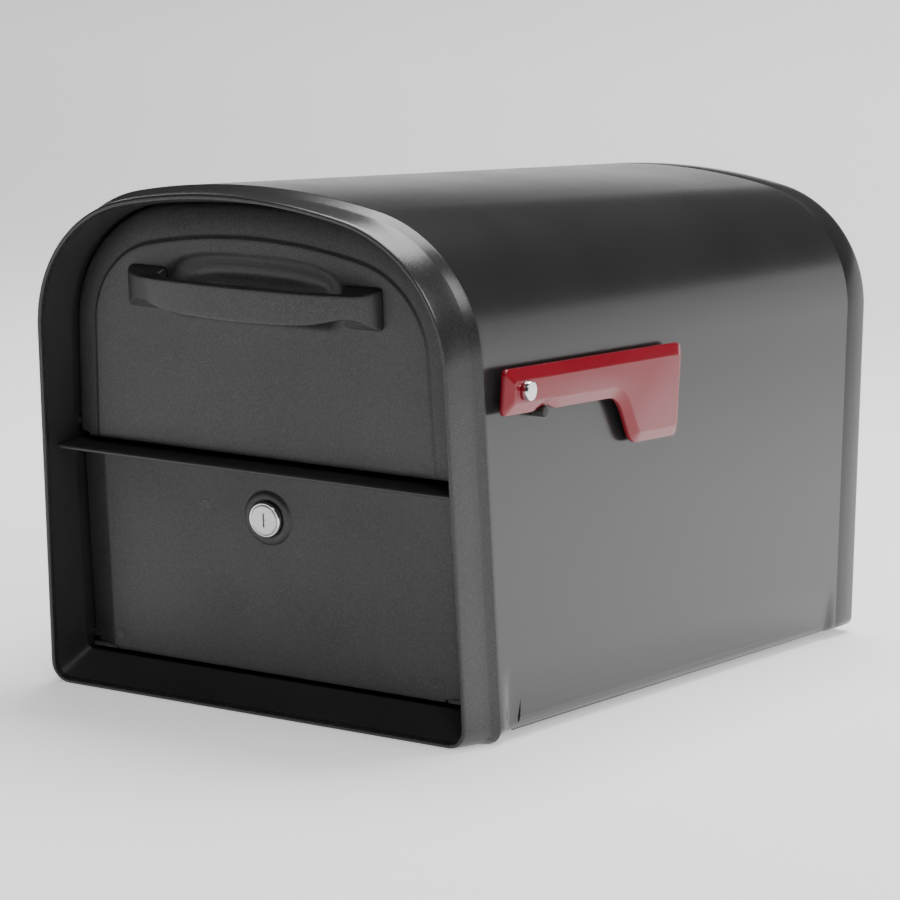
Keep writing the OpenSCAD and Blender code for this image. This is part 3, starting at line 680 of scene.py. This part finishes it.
def buildShelf():
    r = shelf["thick"] / 2
    middle, top, low = shelf["top"] - r, shelf["top"], shelf["top"] - shelf["thick"]
    at, back, foot = shelf["flangeAt"], shelf["flangeBack"], shelf["flangeFoot"]
    profile = [(shelf["nose"] + r + r * cos(a), middle + r * sin(a))
               for a in [radians(270 - 15 * i) for i in range(13)]]
    profile += [(14, top), (22, top), (34, top), (34.01, top), (back - 1.6, top),
                (back - 0.5, top - 0.3), (back, top - 1.2), (back, foot), (at, foot),
                (at, low - 1.5), (at - 0.4, low - 0.4), (at - 1.4, low), (34.01, low),
                (34, low), (22, low), (14, low)]
    bm = bmesh.new()
    loft(bm, [[onFront(side * shelfHalfWidth(d), d, v) for d, v in profile]
              for side in (-1, -0.5, 0, 0.5, 1)], capFirst=True, capLast=True)
    settle(finishMesh(bm, "dividerShelf", [shelfBlack], sharp=40), "housing", "body_black",
           "divider_shelf")


buildShelf()
print("housing ready")

hopper = {"face": 22.0, "bottom": 147.0, "back": 33.0, "skin": 3.4, "centre": 214.0,
          "rollAt": (30.0, 151.5), "rollR": 7.6, "rollHalf": 121.0, "panelHalf": 117.9}
scoop = {"half": 60.0, "top": 262.5, "low": 222.0, "deep": 7.6}
grip = {"height": 237.8}


def easeIn(t):
    t = min(max(t, 0.0), 1.0)
    return t * t * (3 - 2 * t)


def scoopDepth(x, v):
    # arch-shaped finger hollow with soft edges
    across = abs(x) / scoop["half"]
    if across >= 1:
        return 0.0
    top = scoop["top"] - 9 * across ** 3
    rise = easeIn((top - v) / 15.0) * easeIn((v - scoop["low"]) / 14.0)
    return scoop["deep"] * rise * easeIn((1 - across) / 0.3)


def panelRing():
    half, bottom, lean = hopper["panelHalf"], hopper["bottom"], 2.2
    arch = archHalf(half, hopper["centre"], 51, 269.6, lean)
    return ringOf((half - tan(radians(lean)) * bottom, bottom, 0.02), arch)


def shrunk(loop, t):  # toward the middle of the hopper door
    return [(x * t, hopper["centre"] + (v - hopper["centre"]) * t) for x, v in loop]


def rolledEdge(bm, axis, r, low, half, steps):
    # round bar behind a door's lower edge, open where it meets the door at the height low
    drop = low + 0.05 - axis[1]
    start = atan2(drop, -sqrt(r * r - drop * drop)) % (2 * pi)
    turns = [start + (3 * pi - 2 * start) * i / steps for i in range(steps + 1)]
    profile = [(axis[0] + r * cos(a), axis[1] + r * sin(a)) for a in turns]
    loft(bm, [[onFront(x, d, v) for d, v in profile] for x in (-half, 0, half)],
         capFirst=True, capLast=True)


def stripAlong(bm, half, depth, low, top, r=0.9, deep=4.0):
    # narrow strip with soft ends and a soft lower edge, set back below a door
    profile = [(depth, top), (depth, (low + r + top) / 2)]
    profile += [(depth + r - r * cos(a), low + r - r * sin(a)) for a in (0, pi / 6, pi / 3, pi / 2)]
    profile += [(depth + deep, low), (depth + deep, top)]
    middle, v = depth + deep / 2, (low + top) / 2
    loops = []
    for x, shrink in ((-half, 0.55), (-half + 0.5, 0.85), (-half + 1.2, 1), (0, 1), (half - 1.2, 1),
                      (half - 0.5, 0.85), (half, 0.55)):
        loops.append([onFront(x, middle + (d - middle) * shrink, v + (h - v) * shrink)
                      for d, h in profile])
    loft(bm, loops, capFirst=True, capLast=True)


def buildHopperDoor():
    outer, panel, face = hopperRing(0, hopper["bottom"]), panelRing(), hopper["face"]
    skin = face + hopper["skin"]
    loops = [place(shrunk(panel, 0.004 + 0.992 * (i / 37)), lambda x, v: face + scoopDepth(x, v))
             for i in range(38)]
    # panel step, then the soft border: (share of the way out, depth behind the face)
    for g, d in ((0, 0.06), (0.03, 0.3), (0.075, 0.85), (0.09, 1.02), (0.14, 1.12), (0.25, 1.35),
                 (0.4, 1.75), (0.55, 2.3), (0.68, 2.95), (0.78, 3.6), (0.86, 4.4), (0.92, 5.3),
                 (0.965, 6.4), (0.99, 7.5), (1.0, 8.6)):
        loops.append(place(mix(panel, outer, g), face + d))
    loops.append(place(outer, hopper["back"]))
    rim = [(0.93 * x, max(150 + 0.9 * (v - 150), 160.0)) for x, v in outer]
    loops.append(place(rim, hopper["back"]))
    loops.append(place(rim, skin))
    bm = bmesh.new()
    loft(bm, loops, capFirst=True)
    # inner skin, hollowed with the scoop so that it keeps its thickness
    loft(bm, [place(shrunk(rim, 1 - i / 15.5), lambda x, v: skin + scoopDepth(x, v))
              for i in range(16)], capLast=True)
    rolledEdge(bm, hopper["rollAt"], hopper["rollR"], hopper["bottom"], hopper["rollHalf"], 20)
    stripAlong(bm, 121, 23.7, 144.7, 147.05)
    settle(finishMesh(bm, "hopperDoor", [frontGrey], sharp=34), "hopper", "front_grey",
           "hopper_door")


def buildBowHandle():
    # outer and inner (x, depth) from the foot to the middle, then the upper and lower edge
    stations = [((84.0, 22.35), (58.4, 22.35), 12.3, -12.3),
                ((83.9, 20.9), (58.5, 20.9), 12.2, -12.2),
                ((82.9, 17.6), (59.6, 18.6), 11.0, -11.0),
                ((80.2, 14.4), (60.6, 16.9), 9.6, -8.6), ((76.2, 12.0), (60.9, 15.2), 8.9, -6.1),
                ((71.4, 9.9), (59.9, 13.6), 8.7, -4.5), ((66.4, 7.7), (57.4, 12.0), 9.0, -4.2),
                ((61.2, 5.4), (53.6, 10.4), 9.4, -5.2), ((55.0, 3.4), (48.4, 9.0), 9.6, -6.7),
                ((46.5, 2.0), (41.5, 8.0), 9.7, -8.0), ((34.5, 1.1), (31.5, 7.4), 9.8, -9.0),
                ((17.5, 0.45), (16.5, 7.1), 9.8, -9.7), ((0.0, 0.2), (0.0, 7.0), 9.8, -9.9)]
    stations += [((-a[0], a[1]), (-b[0], b[1]), up, down) for a, b, up, down in stations[-2::-1]]
    section = []  # a rounded rectangle of unit half sizes
    for sx, sy in ((1, 1), (-1, 1), (-1, -1), (1, -1)):
        for a in (0, 30, 60, 90):
            turn = radians(a) if sx * sy > 0 else radians(90 - a)
            section.append((sx * (0.74 + 0.26 * cos(turn)), sy * (0.84 + 0.16 * sin(turn))))
    loops = []
    for (outX, outD), (inX, inD), up, down in stations:
        midX, midD = (outX + inX) / 2, (outD + inD) / 2
        midV, halfV = grip["height"] + (up + down) / 2, (up - down) / 2
        loops.append([onFront(midX + (outX - midX) * p, midD + (outD - midD) * p, midV + halfV * q)
                      for p, q in section])
    bm = bmesh.new()
    loft(bm, loops, capFirst=True, capLast=True)
    handle = finishMesh(bm, "bowHandle", [frontGrey], sharp=60)
    soft = handle.modifiers.new("soften", "SUBSURF")
    soft.levels = soft.render_levels = 2
    settle(handle, "hopper", "front_grey", "hopper_handle")


buildHopperDoor()
buildBowHandle()

access = {"face": 25.7, "low": 17.7, "top": 138.2, "half": 130.0, "flat": 112.3, "rim": 36.0,
          "rollAt": (32.0, 22.0), "rollR": 7.0, "rollHalf": 112.0, "liner": 124.0}
knuckle = {"across": 121.2, "depth": 31.5, "height": 16.7, "size": (16.0, 7.0, 2.2)}
plugSpots = ((-43, 111.5), (43, 111.5), (-107.5, 26.5), (107.5, 26.5))


def roundedPlate(half, low, top, r, steps=6):
    loop = []
    for cx, cv, start in ((half - r, top - r, 0), (-half + r, top - r, 90),
                          (-half + r, low + r, 180), (half - r, low + r, 270)):
        for i in range(steps + 1):
            a = radians(start + 90 * i / steps)
            loop.append((cx + r * cos(a), cv + r * sin(a)))
    return loop


def buildAccessDoor():
    face, low, top, rim = access["face"], access["low"], access["top"], access["rim"]
    flat, half = access["flat"], access["half"]
    recess = roundedPlate(access["liner"], low + 14, 134, 1.0)
    loops = [(face, roundedPlate(flat - 0.8, low + 0.5, top - 0.5, 0.8)),
             (face + 0.08, roundedPlate(flat + 0.2, low + 0.2, top - 0.2, 0.9)),
             (face + 0.42, roundedPlate(flat + 1.4, low + 0.05, top - 0.05, 1.0)),
             (face + 4.9, roundedPlate(half - 0.9, low, top, 3.0)),
             (face + 5.4, roundedPlate(half - 0.2, low, top, 3.0)),
             (face + 6.2, roundedPlate(half, low, top, 3.0)),
             (rim, roundedPlate(half, low, top, 3.0)), (rim, recess), (rim - 1.55, recess)]
    bm = bmesh.new()
    loft(bm, [place(loop, d) for d, loop in loops], capFirst=True, capLast=True)
    # boss round the lock
    lathe(bm, [(16.4, face + 0.02), (15.9, face - 0.1), (15.5, face - 0.45), (15.0, face - 1.0),
               (14.1, face - 1.5), (12.9, face - 1.76), (11.6, face - 1.8), (11.0, face - 1.55),
               (10.8, face - 0.8), (10.8, face + 0.4)], 0, lockShape["height"], 72)
    rolledEdge(bm, access["rollAt"], access["rollR"], low, access["rollHalf"], 16)
    stripAlong(bm, 112, 26.6, 15.9, 17.75, 0.6, 3)
    wide, deep, tall = knuckle["size"]
    for side in (-1, 1):
        for k in bmesh.ops.create_cube(bm, size=1.0)["verts"]:
            k.co = onFront(side * (knuckle["across"] + wide * k.co.x),
                           knuckle["depth"] + deep * k.co.y, knuckle["height"] + tall * k.co.z)
    settle(finishMesh(bm, "accessDoor", [frontGrey], sharp=30), "access", "front_grey",
           "access_door")


def buildFacePlugs():
    bm = bmesh.new()
    f = access["face"]
    for x, v in plugSpots:
        lathe(bm, [(3.2, f - 0.02), (3.55, f - 0.12), (3.8, f - 0.14), (4.05, f - 0.04),
                   (4.1, f + 0.3)], x, v, 40, capFirst=True, capLast=True)
    settle(finishMesh(bm, "facePlugs", [frontGrey], sharp=50), "access", "front_grey",
           "access_plugs")


lockShape = {"height": 109.3, "slotHalf": 0.55, "slotReach": 4.0, "wing": 1.9}


def buildLockHousing():
    bm = bmesh.new()
    f = access["face"]
    lathe(bm, [(8.72, f - 2.6), (8.72, f - 4.45), (8.85, f - 4.7), (9.15, f - 4.8), (9.55, f - 4.78),
               (9.95, f - 4.55), (10.2, f - 4.1), (10.3, f - 3.5), (10.3, f - 1.85), (8.9, f - 1.8),
               (8.9, 46), (6.1, 46), (6.1, f - 2.6)], 0, lockShape["height"], 96, closed=True)
    settle(finishMesh(bm, "lockHousing", [chrome], sharp=45), "access", "chrome",
           "lock_housing")


def buildLockPlug():
    # keyway: an upright slot with a short side wing
    f, steps, height = access["face"], 96, lockShape["height"]
    slot, rim = [], []
    for i in range(steps):
        a = 2 * pi * i / steps
        reach = min(lockShape["slotHalf"] / max(abs(cos(a)), 1e-6),
                    lockShape["slotReach"] / max(abs(sin(a)), 1e-6))
        if -0.35 < sin(a) < 0.85 and cos(a) > 0:
            reach = max(reach, lockShape["wing"] * (1 - abs(sin(a) - 0.25) / 0.75))
        slot.append((reach * cos(a), reach * sin(a)))
        rim.append((cos(a), sin(a)))
    bm = bmesh.new()
    loops = [[onFront(p * across, d, height + q * up) for p, q in slot]
             for d, across, up in ((f - 2.9, 0.9, 0.95), (f - 5.05, 1, 1), (f - 5.18, 1.04, 1.02))]
    for r, d in ((5.5, f - 5.2), (8.1, f - 5.2), (8.4, f - 5.12), (8.56, f - 4.9), (8.6, f - 4.6),
                 (8.6, f - 2.8), (6.0, f - 2.7), (6.0, 48.2)):
        loops.append([onFront(r * p, d, height + r * q) for p, q in rim])
    loft(bm, loops, capFirst=True, capLast=True)
    settle(finishMesh(bm, "lockPlug", [lockFace], sharp=45), "lock", "chrome", "lock_plug")


buildAccessDoor()
buildFacePlugs()
buildLockHousing()
buildLockPlug()
print("doors ready")

flagShape = {"back": 147.3, "thick": 5.6, "pivotY": -220.4, "pivotZ": 194.0, "bevel": 6.6,
             "notchY": 27.0, "notchZ": -10.4, "notchR": 22.0, "stopY": -193.4, "stopZ": 180.0}
# (y, z) from the pivot, and the corner's radius
flagCorners = [(-18, -13.4, 3.5), (113.5, -13.1, 11), (133.5, -41.6, 7),
               (190.5, -41.6, 7), (190.5, 13.6, 7), (-18, 12.0, 3.5)]


def insetCorners(points, distance):  # moves every edge inwards
    moved = []
    count = len(points)
    for i in range(count):
        a, b, c = (Vector(points[(i + k) % count][:2]) for k in (-1, 0, 1))
        u, w = (b - a).normalized(), (c - b).normalized()
        n1, n2 = Vector((-u.y, u.x)), Vector((-w.y, w.x))
        bisector = (n1 + n2).normalized()
        moved.append(tuple(b + bisector * distance / max(bisector.dot(n1), 0.3)))
    return moved


def roundCorners(points, radii, edgeSteps=30, cornerSteps=7):
    # curves each corner and divides each edge, so that two outlines can be lofted
    loop = []
    count = len(points)
    for i in range(count):
        a, b, c = (Vector(points[(i + k) % count]) for k in (-1, 0, 1))
        d = Vector(points[(i + 2) % count])
        r = min(radii[i], (b - a).length * 0.45, (c - b).length * 0.45)
        rNext = min(radii[(i + 1) % count], (c - b).length * 0.45, (d - c).length * 0.45)
        start, end = b + (a - b).normalized() * r, b + (c - b).normalized() * r
        for k in range(cornerSteps + 1):
            t = k / cornerSteps
            loop.append(tuple(start * (1 - t) ** 2 + b * 2 * t * (1 - t) + end * t * t))
        stop = c + (b - c).normalized() * rNext
        for k in range(1, edgeSteps):
            loop.append(tuple(end + (stop - end) * (k / edgeSteps)))
    return loop


def buildFlag():
    s = flagShape
    outer = roundCorners([c[:2] for c in flagCorners], [c[2] for c in flagCorners])
    inner = roundCorners(insetCorners(flagCorners, s["bevel"]),
                         [max(c[2] - 4, 2.0) if c[2] < 10 else c[2] + 3 for c in flagCorners])
    notched = []  # the stop pin's arc-shaped room in the lower edge
    for y, z in outer:
        gap = s["notchR"] ** 2 - (y - s["notchY"]) ** 2
        if gap > 0 and z < 0:
            z = max(z, s["notchZ"] - s["notchR"] + sqrt(gap))
        notched.append((y, z))
    x = s["back"]
    sections = [(x + d, mix(notched, inner, t)) for d, t in (
        (0, 0.1), (0.25, 0.025), (0.7, 0), (2.2, 0), (2.75, 0.035), (3.2, 0.13), (5.2, 0.9),
        (5.5, 0.975), (5.6, 1.06))]
    bm = bmesh.new()
    loft(bm, [[inRow(at, s["pivotY"] + y, s["pivotZ"] + z) for y, z in loop]
              for at, loop in sections], capFirst=True, capLast=True)
    settle(finishMesh(bm, "signalFlag", [flagRed], sharp=28), "signal_flag", "flag_red",
           "flag", "flag_bush")


def sideAtHeight(z):  # x of the leaning side wall
    return body["wide"] - tan(radians(body["lean"])) * z


def buildFlagMount():
    s = flagShape
    y, z, out = s["pivotY"], s["pivotZ"], s["back"] + s["thick"]
    bm = bmesh.new()
    sideLathe(bm, [(2.9, out - 8), (2.9, out + 0.35), (4.9, out + 0.4), (5.25, out + 0.55),
                   (5.4, out + 0.9), (5.4, out + 3.8), (5.25, out + 4.2), (4.95, out + 4.38),
                   (4.6, out + 4.4)], y, z, capFirst=True, capLast=True)
    settle(finishMesh(bm, "flagScrew", [chrome], sharp=50), "housing", "chrome", "flag_screw")
    bm = bmesh.new()
    sideAt = sideAtHeight(s["stopZ"])
    sideLathe(bm, [(2.4, sideAt - 4), (2.4, sideAt + 0.1), (3.2, sideAt + 0.15), (3.2, out - 2.0),
                   (3.0, out - 1.6), (2.6, out - 1.5)], s["stopY"], s["stopZ"],
              capFirst=True, capLast=True)
    settle(finishMesh(bm, "flagStop", [rubberBlack], sharp=50), "housing", "rubber_black",
           "flag_stop")
    bm = bmesh.new()
    sideAt = sideAtHeight(z)
    sideLathe(bm, [(3.1, sideAt - 3), (4.9, sideAt - 3), (4.9, sideAt + 0.3), (7.6, sideAt + 0.3),
                   (8.0, sideAt + 0.6), (8.0, sideAt + 2.1), (7.7, sideAt + 2.3), (7.2, sideAt + 2.4),
                   (3.1, sideAt + 2.4)], y, z, closed=True)
    settle(finishMesh(bm, "flagPost", [nylonBlack], sharp=50), "housing", "nylon_black",
           "flag_post")


buildFlag()
buildFlagMount()


def buildHeadTree():
    # sets a domed head with its shank on each point, turned to face outwards
    t = TreeBuilder("fastenerHeads", {
        "Radius": "NodeSocketFloat", "Height": "NodeSocketFloat",
        "Shank Radius": "NodeSocketFloat", "Shank Length": "NodeSocketFloat",
        "Material": "NodeSocketMaterial"})
    given = t.ins.outputs
    dome = t.add("GeometryNodeMeshUVSphere")
    dome.inputs["Segments"].default_value = 20
    dome.inputs["Rings"].default_value = 12
    t.link(given["Radius"], dome.inputs["Radius"])
    squash = t.add("ShaderNodeCombineXYZ")
    squash.inputs["X"].default_value = squash.inputs["Y"].default_value = 1.0
    t.link(mathNode(t.tree, "DIVIDE", given["Height"], given["Radius"]), squash.inputs["Z"])
    flat = t.add("GeometryNodeTransform")
    t.link(dome.outputs["Mesh"], flat.inputs["Geometry"])
    t.link(squash.outputs[0], flat.inputs["Scale"])
    shank = t.add("GeometryNodeMeshCylinder")
    shank.inputs["Vertices"].default_value = 20
    t.link(given["Shank Radius"], shank.inputs["Radius"])
    t.link(given["Shank Length"], shank.inputs["Depth"])
    lower = t.add("ShaderNodeCombineXYZ")
    t.link(mathNode(t.tree, "MULTIPLY", given["Shank Length"], -0.5), lower.inputs["Z"])
    sunk = t.add("GeometryNodeTransform")
    t.link(shank.outputs["Mesh"], sunk.inputs["Geometry"])
    t.link(lower.outputs[0], sunk.inputs["Translation"])
    both = t.add("GeometryNodeJoinGeometry")
    t.link(flat.outputs[0], both.inputs[0])
    t.link(sunk.outputs[0], both.inputs[0])
    facing = t.add("GeometryNodeInputNamedAttribute", data_type="FLOAT_VECTOR")
    facing.inputs["Name"].default_value = "facing"
    turn = t.add("FunctionNodeAlignRotationToVector", axis="Z")
    t.link(facing.outputs[0], turn.inputs["Vector"])
    scatter = t.add("GeometryNodeInstanceOnPoints")
    t.link(given["Geometry"], scatter.inputs["Points"])
    t.link(both.outputs[0], scatter.inputs["Instance"])
    t.link(turn.outputs[0], scatter.inputs["Rotation"])
    t.close(scatter.outputs[0], given["Material"])
    return t


headTree = buildHeadTree()


def buildHeads(name, spots, sizes, bodyName, slotName, *nodes):
    # spots is a list of (point, facing); sizes is (radius, height, shank radius, shank length)
    source = bpy.data.meshes.new(name)
    source.from_pydata([p for p, _ in spots], [], [])
    store = source.attributes.new("facing", "FLOAT_VECTOR", "POINT")
    for i, (_, way) in enumerate(spots):
        store.data[i].vector = way
    labels = ("Radius", "Height", "Shank Radius", "Shank Length")
    values = {label: size / 1000 for label, size in zip(labels, sizes)}
    piece = runTree(headTree, source, {**values, "Material": zincSteel}, name, sharp=60)
    settle(piece, bodyName, slotName, *nodes)


fasteners = {"floorScrew": (3.05, 0.9, 1.5, 3), "strikeRivet": (3, 1.2, 1.5, 4),
             "linerRivet": (3, 1.05, 1.5, 6), "trayRivet": (2.8, 1.15, 1.5, 3.3)}
inward, forward, down = (0, tiltCos, tiltSin), (0, -tiltCos, -tiltSin), (0, 0, -1)
floorSpots = [(x, -205) for x in (-90, 0, 90)] + [(x, 213) for x in (-90, 90)]
buildHeads("floorScrews", [(inRow(x, y, 0.9), down) for x, y in floorSpots],
           fasteners["floorScrew"], "housing", "body_black", "cap_screws", "bezel_screws")
buildHeads("strikeRivets", [(onFront(x, 43.6, 131), forward) for x in (-14, 14)],
           fasteners["strikeRivet"], "housing", "zinc_steel", "strike_rivets")
buildHeads("linerRivets", [(onFront(x, 36.05, v), inward) for x in (-100, 100) for v in (118, 50)],
           fasteners["linerRivet"], "access", "zinc_steel", "liner_rivets")
trayTurn, traySpots = radians(-20.6), []  # the tray's floor slopes down from the hinge
for side in (-1, 1):
    for reach in (22, 50, 78):
        d = hopper["rollAt"][0] + reach * cos(trayTurn) - 4 * sin(trayTurn)
        v = hopper["rollAt"][1] + reach * sin(trayTurn) + 4 * cos(trayTurn)
        traySpots.append((onFront(side * 104.05, d, v), (side, 0, 0)))
buildHeads("trayRivets", traySpots, fasteners["trayRivet"], "hopper", "zinc_steel", "tray_rivets")
print("fasteners ready")

# the other nodes keep their shape and take a finish
slotOf = {entry["node"]: entry["material_slot"] for entry in frame["record"]["subparts"]}
for name, node in frame["nodes"].items():
    if not hasattr(node, "material_slots"):
        continue
    paint = slotMaterial[slotOf[name]]
    if not node.material_slots:
        node.data.materials.append(paint)
    for socket in node.material_slots:
        socket.material = paint
print("finishes ready")
